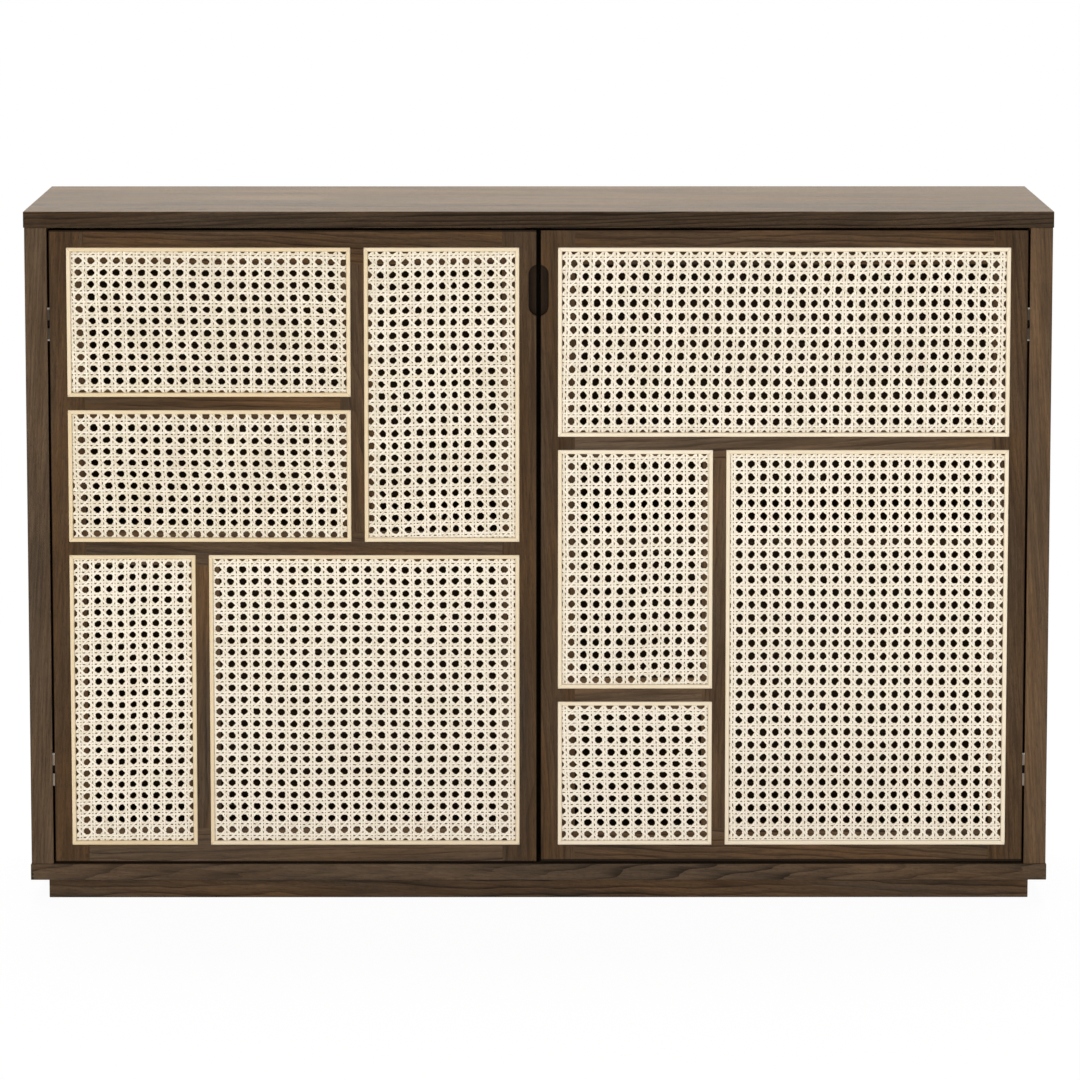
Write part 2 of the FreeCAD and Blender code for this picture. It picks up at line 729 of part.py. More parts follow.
def bead_frame(label, x, z):
    """Four mitred strips round a panel."""
    gap = sizes.bead_gap
    corners = [
        (x[0] + gap, z[0] + gap, 1, 1),
        (x[1] - gap, z[0] + gap, -1, 1),
        (x[1] - gap, z[1] - gap, -1, -1),
        (x[0] + gap, z[1] - gap, 1, -1),
    ]
    chamfer = sizes.bead_chamfer
    width = sizes.bead_width
    front, rear = worked.bead_front, worked.cane_front
    profile = [
        (0, rear),
        (0, front + chamfer),
        (chamfer, front),
        (width - chamfer, front),
        (width, front + chamfer),
        (width, rear),
    ]

    def mitre(corner):
        corner_x, corner_z, inward_x, inward_z = corner
        return [Vector(corner_x + inward_x * d, y, corner_z + inward_z * d) for d, y in profile]

    strips = []
    for index, corner in enumerate(corners):
        strips.append(strip_between(mitre(corner), mitre(corners[(index + 1) % 4])))
    node(label, group(label, strips))


for side, (start, _, panels) in doors.items():
    for name, spans in panels.items():
        x, z = [tuple(number_of(rule) for rule in span) for span in in_door(start, *spans)]
        cane_panel(f"{side}_{name}_cane", x, z)
        bead_frame(f"{side}_{name}_bead", x, z)

# Magnetic catches under the top board, each with a strike plate on the back of its door.
catches = []
catch_middle = "worked.partition_half + sizes.catch_offset + sizes.catch_width / 2"
catch_y = ("worked.catch_front", "worked.catch_front + sizes.catch_depth")
catch_z = ("worked.top_underside - sizes.catch_height", "worked.top_underside")
plate_y = ("worked.door_back", "worked.door_back + sizes.strike_thickness")
plate_z = (catch_z[0], "worked.door_high - sizes.strike_top_inset")
for side, middle in (("left", f"-({catch_middle})"), ("right", catch_middle)):
    catches.append(block(f"{side}_catch", around(middle, "sizes.catch_width"), catch_y, catch_z))
    plate_x = around(middle, "sizes.catch_width - 2 * sizes.strike_border")
    node(f"{side}_strike_plate", block(f"{side}_strike", plate_x, plate_y, plate_z))
node("magnetic_catches", compound("magnetic_catches", catches))

# Every object must have been worked out, and every sub-part must be sound, before it is written.
document.recompute()
for item in document.Objects:
    if "Invalid" in item.State or "Error" in item.State:
        raise RuntimeError(f"{item.Label} failed: {item.State}")
os.makedirs("parts", exist_ok=True)
for label, piece in nodes.items():
    shape = piece.Shape
    if shape.isNull() or not shape.isValid() or not shape.Solids:
        raise RuntimeError(f"{label} has no sound solid")
for label, piece in nodes.items():
    piece.Shape.exportStep(f"parts/{label}.step")
print(len(nodes), "sub-parts written")
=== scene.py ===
import math

import bpy
import numpy as np
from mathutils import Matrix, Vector


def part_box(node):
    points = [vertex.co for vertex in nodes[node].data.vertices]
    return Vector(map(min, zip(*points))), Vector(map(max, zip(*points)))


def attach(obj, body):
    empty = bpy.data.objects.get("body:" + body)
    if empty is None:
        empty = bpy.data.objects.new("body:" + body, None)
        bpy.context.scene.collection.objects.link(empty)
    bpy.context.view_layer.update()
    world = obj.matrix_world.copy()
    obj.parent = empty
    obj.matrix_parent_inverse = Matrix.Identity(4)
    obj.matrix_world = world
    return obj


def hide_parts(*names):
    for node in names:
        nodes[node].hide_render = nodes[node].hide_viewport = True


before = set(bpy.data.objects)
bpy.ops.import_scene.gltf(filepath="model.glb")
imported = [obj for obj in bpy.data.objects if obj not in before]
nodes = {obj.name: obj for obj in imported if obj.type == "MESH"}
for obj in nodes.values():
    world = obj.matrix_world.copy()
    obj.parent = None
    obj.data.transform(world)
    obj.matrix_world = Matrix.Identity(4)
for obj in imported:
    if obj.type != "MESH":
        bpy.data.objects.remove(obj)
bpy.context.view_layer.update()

scene = bpy.context.scene
MM = 0.001
FULL_TURN = 2 * math.pi


# Shader helpers.


def new_material(name):
    """An empty node material with its tree and its surface shader."""
    material = bpy.data.materials.new(name)
    material.use_nodes = True
    return material, material.node_tree, material.node_tree.nodes["Principled BSDF"]


def add(tree, kind, **settings):
    """A shader node. Names in settings are its attributes, or its inputs where it has no such attribute."""
    node = tree.nodes.new("ShaderNode" + kind)
    for name, value in settings.items():
        if hasattr(node, name):
            setattr(node, name, value)
        else:
            node.inputs[name.replace("_", " ")].default_value = value
    return node


def maths(tree, operation, first, second=None):
    """A maths node on two values, each a socket or a number."""
    node = tree.nodes.new("ShaderNodeMath")
    node.operation = operation
    for socket, value in zip(node.inputs, (first, second)):
        if hasattr(value, "is_linked"):
            tree.links.new(value, socket)
        elif value is not None:
            socket.default_value = value
    return node.outputs[0]


def times(tree, first, second):
    """The product of two values."""
    return maths(tree, "MULTIPLY", first, second)


def blend_colours(tree, factor, first, second, mode="MIX"):
    """Two colours, each a socket or a value, mixed by a socket or a number."""
    node = tree.nodes.new("ShaderNodeMix")
    node.data_type = "RGBA"
    node.blend_type = mode
    for name, value in (("Factor_Float", factor), ("A_Color", first), ("B_Color", second)):
        socket = next(s for s in node.inputs if s.identifier == name)
        if hasattr(value, "is_linked"):
            tree.links.new(value, socket)
        else:
            socket.default_value = value
    return next(s for s in node.outputs if s.identifier == "Result_Color")


def ramp(tree, value, stops):
    """A colour ramp over a value. Each stop is a place and a colour."""
    node = tree.nodes.new("ShaderNodeValToRGB")
    band = node.color_ramp
    while len(band.elements) < len(stops):
        band.elements.new(0.5)
    for element, (place, colour) in zip(band.elements, stops):
        element.position = place
        element.color = colour
    tree.links.new(value, node.inputs["Fac"])
    return node.outputs["Color"]


def grey_ramp(tree, value, stops):
    """A ramp of greys over a value. Each stop is a place and a level."""
    return ramp(tree, value, [(place, (level, level, level, 1)) for place, level in stops])


def between(tree, value, stops, first, second):
    """A colour between two others, by where a value lies between two stops."""
    return ramp(tree, value, list(zip(stops, (first, second))))


def parts_of(tree, vector):
    """The three parts of a vector."""
    node = tree.nodes.new("ShaderNodeSeparateXYZ")
    tree.links.new(vector, node.inputs[0])
    return list(node.outputs)


def zone(x, y, z, share):
    """A box as two corners, and the share of another colour inside it. x, y and z are its reaches in m."""
    return tuple(zip(x, y, z)) + (share,)


def inside_zone(tree, place, low, high, share):
    """The share inside a zone, and nothing outside it."""
    low, high = Vector(low), Vector(high)
    reach = add(tree, "VectorMath", operation="SUBTRACT")
    reach.inputs[1].default_value = (low + high) / 2
    tree.links.new(place, reach.inputs[0])
    for axis, size in zip(parts_of(tree, reach.outputs["Vector"]), high - low):
        within = maths(tree, "LESS_THAN", maths(tree, "ABSOLUTE", axis), size / 2)
        share = times(tree, within, share)
    return share


def shade(colour, factor):
    """A colour made lighter or darker."""
    return tuple(channel * factor for channel in colour[:3]) + (1,)


def raise_grain(tree, surface, height, strength, depth):
    """Fine relief on a surface, from a height and its depth in m."""
    bump = add(tree, "Bump", Strength=strength, Distance=depth)
    tree.links.new(height, bump.inputs["Height"])
    tree.links.new(bump.outputs["Normal"], surface.inputs["Normal"])


# Oak. Its figure depends on how each board lies in the log that it was sawn from.
GRAIN_TURN = {"x": (0, 0, 0), "y": (0, 0, math.pi / 2), "z": (0, math.pi / 2, 0)}
OAK_GREY = (0.104, 0.068, 0.042, 1)
OAK_RED = (0.136, 0.072, 0.032, 1)
# The colour of painted shade in the wood.
PAINTED_SHADE = shade(OAK_RED, 0.04)
LACQUER = (0.28, 0.08)  # roughness and specular level
GLOSS_SPREAD = 0.18  # how much rougher streaks or brushing make a surface
LOG_TILT = (0.02, 0.07)  # range of the angles between board and log
HEART = ((-3, 3), (-0.12, 0.12), (0.25, 0.32))  # ranges of the place of the log's heart, in m
# The cut of a board: shift of the heart in m, scale of the ring lines along the grain, how close they are,
# and how far the hue wanders. A wide board is sawn away from the heart, with long, close ring lines.
NARROW_CUT = ((0, 0, 0), 9.0, 1.0, 3.0)
WIDE_CUT = ((0, 0.6, -0.2), 2.0, 1.8, 1.6)
RING_SCALE = (34, 46)  # range of the scale of the ring lines across the grain
# Noise in the wood: scale along and across the grain, detail and distortion.
STREAKS = (9.0, 420.0, 3.0, 0.3)
BANDS = (3.0, 60.0, 3.0, 0.5)
HUES = (2.0, 26.0, 2.0, 0.0)
PATCHES = (2.4, 24.0, 2.0, 0.0)
PORES = (45.0, 2400.0, 2.0, 0.0)
# Grey ramps: the profile of a ring line, patches where ring lines are faint, how light the wood is, and
# pores.
RING_PROFILE = ((0.0, 1), (0.1, 0.8), (0.38, 0.2), (0.8, 0))
PATCH_LEVELS = ((0.36, 0.2), (0.62, 1))
WOOD_LEVELS = ((0.16, 0.16), (0.46, 0.58), (0.70, 1))
PORE_LEVELS = ((0.36, 1), (0.46, 0))
STREAK_SHARE = 0.9  # of streaks beside broad bands
LEVEL_GAIN = 0.55  # brings their sum into the range of the ramp
RING_DEPTH = 0.36  # how much darker ring lines are
PORE_SHARE = 0.5  # how strong pores are
PORE_TONE = 0.2  # how light they are beside the wood
STREAK_RELIEF = 0.8  # height of streaks, where pores are 1 deep
RING_RELIEF = 0.4  # and depth of ring lines


def oak(name, grain, number, tone, warmth, figure, shade_zones=(), lacquer=LACQUER, cut=NARROW_CUT):
    """Smoked oak whose grain runs along one axis: ring lines, streaks, pores and a satin lacquer.

    tone is how light the board is, warmth how red it is and figure how strong its ring lines are. shade_zones
    are the zones where shade is painted into the wood's colour.
    """
    material, tree, surface = new_material(name)
    random = np.random.default_rng(number)
    place = add(tree, "TexCoord").outputs["Object"]
    turned = add(tree, "Mapping", vector_type="TEXTURE", Rotation=GRAIN_TURN[grain])
    tree.links.new(place, turned.inputs["Vector"])
    shift, bend, close, hue_reach = cut
    tilt = random.uniform(*LOG_TILT, 2) * random.choice((-1, 1), 2)
    heart = Vector([random.uniform(*reach) for reach in HEART]) + Vector(shift)
    log = add(tree, "Mapping", Rotation=(0, tilt[0], tilt[1]), Location=heart)
    tree.links.new(turned.outputs["Vector"], log.inputs["Vector"])

    def stretched(along, across):
        """The place in the log, scaled along and across the grain."""
        node = add(tree, "Mapping", Scale=(along, across, across))
        tree.links.new(log.outputs["Vector"], node.inputs["Vector"])
        return node.outputs["Vector"]

    def noise(along, across, detail, distortion):
        """Noise stretched along the grain."""
        node = add(tree, "TexNoise", Scale=1.0, Detail=detail, Roughness=0.6, Distortion=distortion)
        tree.links.new(stretched(along, across), node.inputs["Vector"])
        return node.outputs["Fac"]

    rings = add(
        tree, "TexWave", wave_type="RINGS", rings_direction="X", wave_profile="SAW",
        Scale=1.0, Distortion=14.0, Detail=3.0, Detail_Scale=0.35, Detail_Roughness=0.62,
    )
    tree.links.new(stretched(bend, close * random.uniform(*RING_SCALE)), rings.inputs["Vector"])
    streak = noise(*STREAKS)
    patch = grey_ramp(tree, noise(*PATCHES), PATCH_LEVELS)
    line = times(tree, grey_ramp(tree, rings.outputs["Fac"], RING_PROFILE), patch)
    line = times(tree, line, figure)
    pores = grey_ramp(tree, noise(*PORES), PORE_LEVELS)

    level = maths(tree, "ADD", times(tree, streak, STREAK_SHARE), noise(*BANDS))
    level = maths(tree, "SUBTRACT", times(tree, level, LEVEL_GAIN), times(tree, line, RING_DEPTH))
    level = grey_ramp(tree, level, WOOD_LEVELS)
    red_share = maths(tree, "ADD", times(tree, noise(*HUES), hue_reach), warmth - hue_reach / 2)
    colour = blend_colours(tree, red_share, shade(OAK_GREY, tone), shade(OAK_RED, tone))
    colour = blend_colours(tree, 1.0, colour, level, "MULTIPLY")
    pore_colour = shade(OAK_GREY, PORE_TONE * tone)
    colour = blend_colours(tree, times(tree, pores, PORE_SHARE), colour, pore_colour)
    # Painted shade darkens the wood in each of its zones.
    for shade_zone in shade_zones:
        colour = blend_colours(tree, inside_zone(tree, place, *shade_zone), colour, PAINTED_SHADE)
    tree.links.new(colour, surface.inputs["Base Color"])
    rough, bright = lacquer
    gloss = maths(tree, "ADD", rough, times(tree, streak, GLOSS_SPREAD))
    tree.links.new(gloss, surface.inputs["Roughness"])
    surface.inputs["Specular IOR Level"].default_value = bright
    relief = maths(tree, "SUBTRACT", times(tree, streak, STREAK_RELIEF), pores)
    relief = maths(tree, "SUBTRACT", relief, times(tree, line, RING_RELIEF))
    raise_grain(tree, surface, relief, strength=0.25, depth=0.0003)
    return material


# Cane, beads, metal and plastic.
LINE_SHARE = 0.6  # of fine lines in the colour of a strand
TINT_SHARE = 0.55  # and of its own tint
FIBRE_STOPS = (0.25, 0.8)  # where the dark and the light colour lie
LINE_GLOSS = 0.2  # how much rougher the lines make it
SPECK_STOPS = (0.3, 0.7)  # where the two colours of metal or plastic lie


def fibre_material(name, light, dark, fine, gloss, edge=None):
    """Pale cane or bead: fine lines along the fibre attribute, and a tint for each strand.

    fine is the scale of the lines along and across the fibre. edge is the colour of a strand's cut edges, and
    how far from its middle they start, in mm.
    """
    material, tree, surface = new_material(name)
    fibre = add(tree, "Attribute", attribute_name="fibre").outputs["Vector"]
    tint = add(tree, "Attribute", attribute_name="tint").outputs["Fac"]
    spread = add(tree, "VectorMath", operation="MULTIPLY")
    spread.inputs[1].default_value = fine
    tree.links.new(fibre, spread.inputs[0])
    noise = add(tree, "TexNoise", Scale=1.0, Detail=3.0, Roughness=0.6)
    tree.links.new(spread.outputs["Vector"], noise.inputs["Vector"])
    lines = noise.outputs["Fac"]
    mix = maths(tree, "ADD", times(tree, lines, LINE_SHARE), times(tree, tint, TINT_SHARE))
    colour = between(tree, mix, FIBRE_STOPS, dark, light)
    if edge:
        edge_colour, start = edge
        across = maths(tree, "ABSOLUTE", parts_of(tree, fibre)[1])
        colour = blend_colours(tree, maths(tree, "GREATER_THAN", across, start), colour, edge_colour)
    tree.links.new(colour, surface.inputs["Base Color"])
    rough = maths(tree, "ADD", gloss, times(tree, lines, LINE_GLOSS))
    tree.links.new(rough, surface.inputs["Roughness"])
    surface.inputs["Specular IOR Level"].default_value = 0.35
    raise_grain(tree, surface, lines, strength=0.3, depth=0.0001)
    return material


def metal_material(name, low, high, rough, painted_zones=()):
    """Satin metal with fine brushing. Each painted zone comes with the colour painted inside it."""
    material, tree, surface = new_material(name)
    place = add(tree, "TexCoord").outputs["Object"]
    spread = add(tree, "Mapping", Scale=(900, 900, 60))
    tree.links.new(place, spread.inputs["Vector"])
    noise = add(tree, "TexNoise", Scale=1.0, Detail=3.0)
    tree.links.new(spread.outputs["Vector"], noise.inputs["Vector"])
    brushing = noise.outputs["Fac"]
    colour = between(tree, brushing, SPECK_STOPS, low, high)
    # Painted shade or painted glints in their zones.
    for painted_zone, painted_colour in painted_zones:
        colour = blend_colours(tree, inside_zone(tree, place, *painted_zone), colour, painted_colour)
    tree.links.new(colour, surface.inputs["Base Color"])
    surface.inputs["Metallic"].default_value = 1.0
    gloss = maths(tree, "ADD", rough, times(tree, brushing, GLOSS_SPREAD))
    tree.links.new(gloss, surface.inputs["Roughness"])
    return material


def plastic_material(name, low, high):
    """Dark moulded plastic with a fine spark texture."""
    material, tree, surface = new_material(name)
    place = add(tree, "TexCoord").outputs["Object"]
    noise = add(tree, "TexNoise", Scale=1800.0, Detail=2.0)
    tree.links.new(place, noise.inputs["Vector"])
    speck = noise.outputs["Fac"]
    tree.links.new(between(tree, speck, SPECK_STOPS, low, high), surface.inputs["Base Color"])
    surface.inputs["Roughness"].default_value = 0.55
    raise_grain(tree, surface, speck, strength=0.3, depth=0.0001)
    return material


# Boards kept from the CAD frame: grain axis, how light and how warm each one is, and how strong its ring
# lines are.
BOARDS = {
    # The top is lighter than its wood: painted light on its top face. Its front edge is painted back darker.
    "top_panel": ("x", 1.25, 0.2, 1.20),
    "bottom_panel": ("x", 1.10, 0.1, 1.00),
    "left_side_panel": ("z", 1.10, 0.3, 0.35),
    "right_side_panel": ("z", 1.20, 0.4, 0.35),
    "centre_partition": ("z", 0.95, 0.5, 0.40),
    "back_panel": ("x", 0.70, 0.5, 0.60),
    "plinth_front": ("x", 0.95, 0.6, 1.00),
    "plinth_back": ("x", 1.00, 0.5, 0.80),
    "plinth_left": ("y", 1.00, 0.5, 0.80),
    "plinth_right": ("y", 1.00, 0.5, 0.80),
    "left_shelf": ("x", 0.95, 0.5, 0.70),
    "right_shelf": ("x", 0.95, 0.5, 0.70),
    "left_door_hinge_stile": ("z", 0.75, 1.1, 0.45),
    "left_door_lock_stile": ("z", 0.70, 0.6, 0.45),
    "left_door_top_rail": ("x", 0.75, 1.0, 0.80),
    "left_door_bottom_rail": ("x", 1.20, 0.2, 1.00),
    "left_door_middle_rail": ("x", 0.90, 0.4, 0.80),
    "left_door_upper_mullion": ("z", 0.80, 0.9, 0.50),
    "left_door_cross_bar": ("x", 0.90, 0.9, 0.80),
    "left_door_lower_mullion": ("z", 0.95, 0.5, 0.50),
    "right_door_lock_stile": ("z", 0.75, 0.7, 0.45),
    "right_door_hinge_stile": ("z", 0.75, 0.8, 0.50),
    "right_door_top_rail": ("x", 0.80, 0.8, 0.80),
    "right_door_bottom_rail": ("x", 1.00, 0.5, 1.00),
    "right_door_middle_rail": ("x", 1.25, 0.4, 0.80),
    "right_door_mullion": ("z", 0.95, 0.8, 0.50),
    "right_door_cross_bar": ("x", 1.30, 0.1, 0.80),
}
FIRST_BOARD_SEED = 7
TENON_SEED = 99
WORN_LACQUER = {"top_panel": (0.25, 0.055)}
WIDE_BOARD = 0.1  # a board wider than this, in m, has the wide cut

# Zones with painted shade: the recess of the finger pull, the edges along the gaps of the doors, the edge of
# the partition behind the gap between them, and the front edge of the top.
WHOLE_WIDTH = (-0.6, 0.6)
WHOLE_HEIGHT = (0.0400, 0.8000)
DOOR_DEPTH = (-0.2000, -0.1700)
EDGE_SHARE = 0.75
# Painted shade in the recess of the finger pull.
PULL = zone((-0.0146, 0.0146), (-0.1972, -0.1800), (0.6932, 0.7548), 0.70)
# Painted shade on the meeting edges of the doors, in the gap between them.
MEETING_EDGES = zone((-0.0030, 0.0030), DOOR_DEPTH, WHOLE_HEIGHT, EDGE_SHARE)
PAINTED_SHADE_ZONES = {
    # Painted shade on the partition's front edge, behind the gap between the doors.
    "centre_partition": [zone((-0.0200, 0.0200), (-0.1800, -0.1560), (0.0300, 0.8000), 0.85)],
    # The front edge of the top, painted darker than the top face, whose lighter colour is painted light.
    "top_panel": [zone((-0.6010, 0.6010), (-0.2010, -0.1996), (0.7900, 0.8152), 0.54)],
}
# The reaches of each door's painted shade along its edges at the hinges, the head and the foot, and the share
# at the foot.
DOOR_EDGES = {
    "left": ((-0.5710, -0.5698), (0.7924, 0.7950), (0.0460, 0.0480), EDGE_SHARE),
    "right": ((0.5698, 0.5710), (0.7938, 0.7950), (0.0460, 0.0498), 0.92),
}
# Each door gets painted shade along its edges at the gaps.
for side, (hinge_reach, head_reach, foot_reach, foot_share) in DOOR_EDGES.items():
    hinge_edge = zone(hinge_reach, DOOR_DEPTH, WHOLE_HEIGHT, EDGE_SHARE)
    head = zone(WHOLE_WIDTH, DOOR_DEPTH, head_reach, EDGE_SHARE)
    foot = zone(WHOLE_WIDTH, DOOR_DEPTH, foot_reach, foot_share)
    PAINTED_SHADE_ZONES[side + "_door_hinge_stile"] = [head, foot, hinge_edge]
    PAINTED_SHADE_ZONES[side + "_door_top_rail"] = [head]
    PAINTED_SHADE_ZONES[side + "_door_bottom_rail"] = [foot]
    PAINTED_SHADE_ZONES[side + "_door_lock_stile"] = [head, foot, MEETING_EDGES, PULL]

# Width of the rounding on edges, in m.
WOOD_EDGE = 0.00028
TENON_EDGE = 0.0003
METAL_EDGE = 0.00015
PLASTIC_EDGE = 0.0008
WELD_REACH = 0.00002  # points closer than this are joined first
ROUNDED_ANGLE = math.radians(35)  # flatter edges aren't rounded


def dress(name, material, softness):
    """Gives a CAD node its material and rounds its edges a little."""
    piece = nodes[name]
    for slot in piece.material_slots:
        slot.material = material
    weld = piece.modifiers.new("weld", "WELD")
    weld.merge_threshold = WELD_REACH
    bevel = piece.modifiers.new("soft_edges", "BEVEL")
    bevel.width = softness
    bevel.segments = 2
    bevel.limit_method = "ANGLE"
    bevel.angle_limit = ROUNDED_ANGLE


for number, (name, (grain, tone, warmth, figure)) in enumerate(BOARDS.items()):
    low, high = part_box(name)
    width = sorted(np.subtract(high, low))[1]
    wood = oak(
        "oak_" + name, grain, number + FIRST_BOARD_SEED, tone, warmth, figure,
        shade_zones=PAINTED_SHADE_ZONES.get(name, ()),
        lacquer=WORN_LACQUER.get(name, LACQUER),
        cut=WIDE_CUT if width > WIDE_BOARD else NARROW_CUT,
    )
    dress(name, wood, WOOD_EDGE)
beech = oak("beech_tenons", "z", TENON_SEED, tone=4.0, warmth=0.3, figure=0.2)
dress("loose_tenons", beech, TENON_EDGE)

# The upper hinges get painted shade along their front edge, and the ends of the hinges get painted glints.
PAINTED_HINGE_SHADE = (0.020, 0.014, 0.010, 1)
PAINTED_GLINT = (0.72, 0.66, 0.60, 1)
HINGE_FRONT = (-0.1970, -0.1955)
GLINT_HEIGHTS = (0.7026, 0.6652, 0.1756)
GLINT_HALF = 0.0011
HINGE_SHADE_AND_GLINTS = [(zone(WHOLE_WIDTH, HINGE_FRONT, (0.6600, 0.7080), 0.72), PAINTED_HINGE_SHADE)]
# A painted glint at each end of a hinge.
for end in GLINT_HEIGHTS:
    glint_reach = (end - GLINT_HALF, end + GLINT_HALF)
    HINGE_SHADE_AND_GLINTS.append((zone(WHOLE_WIDTH, HINGE_FRONT, glint_reach, 0.7), PAINTED_GLINT))
steel = metal_material("satin_steel", (0.28, 0.23, 0.19, 1), (0.48, 0.39, 0.31, 1), 0.32, HINGE_SHADE_AND_GLINTS)
# The hinge arms sit deep in the gap; their near-black colour is painted shade.
painted_shade_steel = metal_material("painted_shade_steel", (0.012, 0.011, 0.010, 1), (0.03, 0.028, 0.026, 1), 0.4)
plastic = plastic_material("catch_plastic", (0.010, 0.008, 0.007, 1), (0.022, 0.018, 0.015, 1))
STEEL_WORDS = ("hinge_cases", "screws", "strike", "shelf_pins")
for name in nodes:
    if "hinge_arms" in name:
        dress(name, painted_shade_steel, METAL_EDGE)
    elif any(word in name for word in STEEL_WORDS):
        dress(name, steel, METAL_EDGE)
dress("magnetic_catches", plastic, PLASTIC_EDGE)


# Cane. Each panel's openings lie on a grid: pitch across and down, first opening from the panel's left
# and top edge, how far a row or a column leans for each step, in mm, and how pale its cane is.
PANELS = {
    "left_top": (14.75, 13.95, 14.0, 16.0, 0.35, 0.10, 0.30),
    "left_second": (14.55, 13.95, 16.0, 6.0, 0.35, 0.10, 0.35),
    "left_tall": (14.30, 14.30, 5.5, 18.0, 0.10, -0.25, 0.50),
    "left_narrow": (13.90, 13.70, 18.5, 14.5, -0.05, -0.30, 0.70),
    "left_large": (14.65, 14.10, 10.5, 17.5, 0.0, 0.0, 0.85),
    "right_wide": (14.05, 15.30, 19.0, 20.5, -0.25, 0.0, 0.65),
    "right_second": (14.10, 14.85, 16.5, 20.0, 0.0, -0.20, 0.75),
    "right_small": (15.20, 14.00, 17.5, 18.0, 0.30, 0.05, 1.00),
    "right_large": (14.05, 15.10, 15.5, 17.5, 0.05, 0.0, 0.90),
}
# How far the openings stray from the straight grid: sideways by column and by row, then downwards by row and
# by column, in mm, at a few even stations.
STRAY = (0.6, 0.45, 0.7, 0.35)
STATIONS = 7
# On top of that, the grid sways in a long and a short wave, in mm. The rates are radians for each opening:
# the long wave's along and across the strands that sway, then the short wave's along them.
LONG_SWAY = 0.2
SHORT_SWAY = 0.12
UPRIGHT_RATES = (0.45, 0.16, 1.1)
LEVEL_RATES = (0.42, -0.18, 1.2)
WOBBLE = 0.17  # of each strand by itself
EDGE_GAP = 0.5  # cane to the wall of its rebate
TUCK = 1.2  # strands end this far inside the wall, under the bead
PAIR = 1.83  # half the distance between two strands of a pair
STRAND = (2.62, 0.45)  # width and thickness of an upright or level strand
SLANT = (2.6, 0.45)  # and of a slanting one
WIDTH_RANGE = (0.94, 1.06)
STRAND_SECTION = ((-0.5, 0.5), (-0.4, -0.5), (0.4, -0.5), (0.5, 0.5))  # in widths and thicknesses
PAIR_SPREAD = (1.06, 0.9, 0.9)  # a pair opens at slanting strands and closes where it crosses a pair
LAP = 0.24  # how far a strand rises or dips where a pair crosses a pair
SLANT_LAP = 0.46  # how far a slanting strand rises or dips at a pair
SLANT_BEATS = (-0.2, 0.2, 0.3, 0.7)  # where its level stretches start and end, in openings
SLANT_DRIFT = 0.025  # how far it lies to one side, in openings
SLANT_WAVE = (0.03, 0.4)  # reach and rate of its slow wave
TINT_RANGE = 0.5
FIBRE_RANGE = 500  # strands start at different places in the noise of their lines
SHARP_ANGLE = math.radians(50)


class Strips:
    """Gathers closed strips of one outline into a mesh."""

    def __init__(self):
        self.points, self.faces, self.fibres, self.tints = [], [], [], []
        self.count = 0

    def add(self, sections, fibre, tint):
        """Adds a strip. sections and fibre are stations by corners by xyz, sections in mm."""
        stations, corners, _ = sections.shape
        self.points.append(sections.reshape(-1, 3))
        self.fibres.append(fibre.reshape(-1, 3))
        self.tints.append(np.full(stations * corners, tint))
        grid = self.count + np.arange(stations * corners).reshape(stations, corners)
        following = np.roll(grid, -1, axis=1)
        walls = np.stack([grid[:-1], following[:-1], following[1:], grid[1:]], axis=-1).reshape(-1, 4)
        self.faces += [tuple(face) for face in walls.tolist()]
        self.faces += [tuple(grid[0, ::-1].tolist()), tuple(grid[-1].tolist())]
        self.count += stations * corners

    def build(self, name, material):
        """The mesh object of all strips, with the attributes that its material reads."""
        mesh = bpy.data.meshes.new(name)
        mesh.from_pydata((np.concatenate(self.points) * MM).tolist(), [], self.faces)
        fibre = mesh.attributes.new("fibre", "FLOAT_VECTOR", "POINT")
        fibre.data.foreach_set("vector", np.concatenate(self.fibres).astype(np.float32).ravel())
        tint = mesh.attributes.new("tint", "FLOAT", "POINT")
        tint.data.foreach_set("value", np.concatenate(self.tints).astype(np.float32))
        mesh.materials.append(material)
        mesh.polygons.foreach_set("use_smooth", np.ones(len(mesh.polygons), dtype=bool))
        mesh.set_sharp_from_angle(angle=SHARP_ANGLE)
        piece = bpy.data.objects.new(name, mesh)
        scene.collection.objects.link(piece)
        return piece


def clipped(points, heights, low, high):
    """The stretch of a line inside a rectangle, cut at its sides, or None."""
    inside = np.minimum(points - low, high - points).min(axis=1)
    kept = np.flatnonzero(inside > 0)
    if len(kept) < 2:
        return None
    first, last = kept[0], kept[-1]
    line = np.column_stack([points, heights])
    parts = [line[first:last + 1]]
    if first > 0:
        share = inside[first] / (inside[first] - inside[first - 1])
        parts.insert(0, (line[first] + share * (line[first - 1] - line[first]))[None])
    if last < len(line) - 1:
        share = inside[last] / (inside[last] - inside[last + 1])
        parts.append((line[last] + share * (line[last + 1] - line[last]))[None])
    return np.concatenate(parts)


def sway(along, across, rates, phases):
    """How far the grid sways at a place, counted in openings along and across the strands, in mm."""
    slow, cross, fast = rates
    long_wave = LONG_SWAY * np.sin(slow * along + cross * across + phases[0])
    return long_wave + SHORT_SWAY * np.sin(fast * along + phases[1])


def beats(count, offsets):
    """Stations along a strand: a few offsets in each cell."""
    return (np.arange(-2, count + 1)[:, None] + np.array(offsets)[None]).ravel()


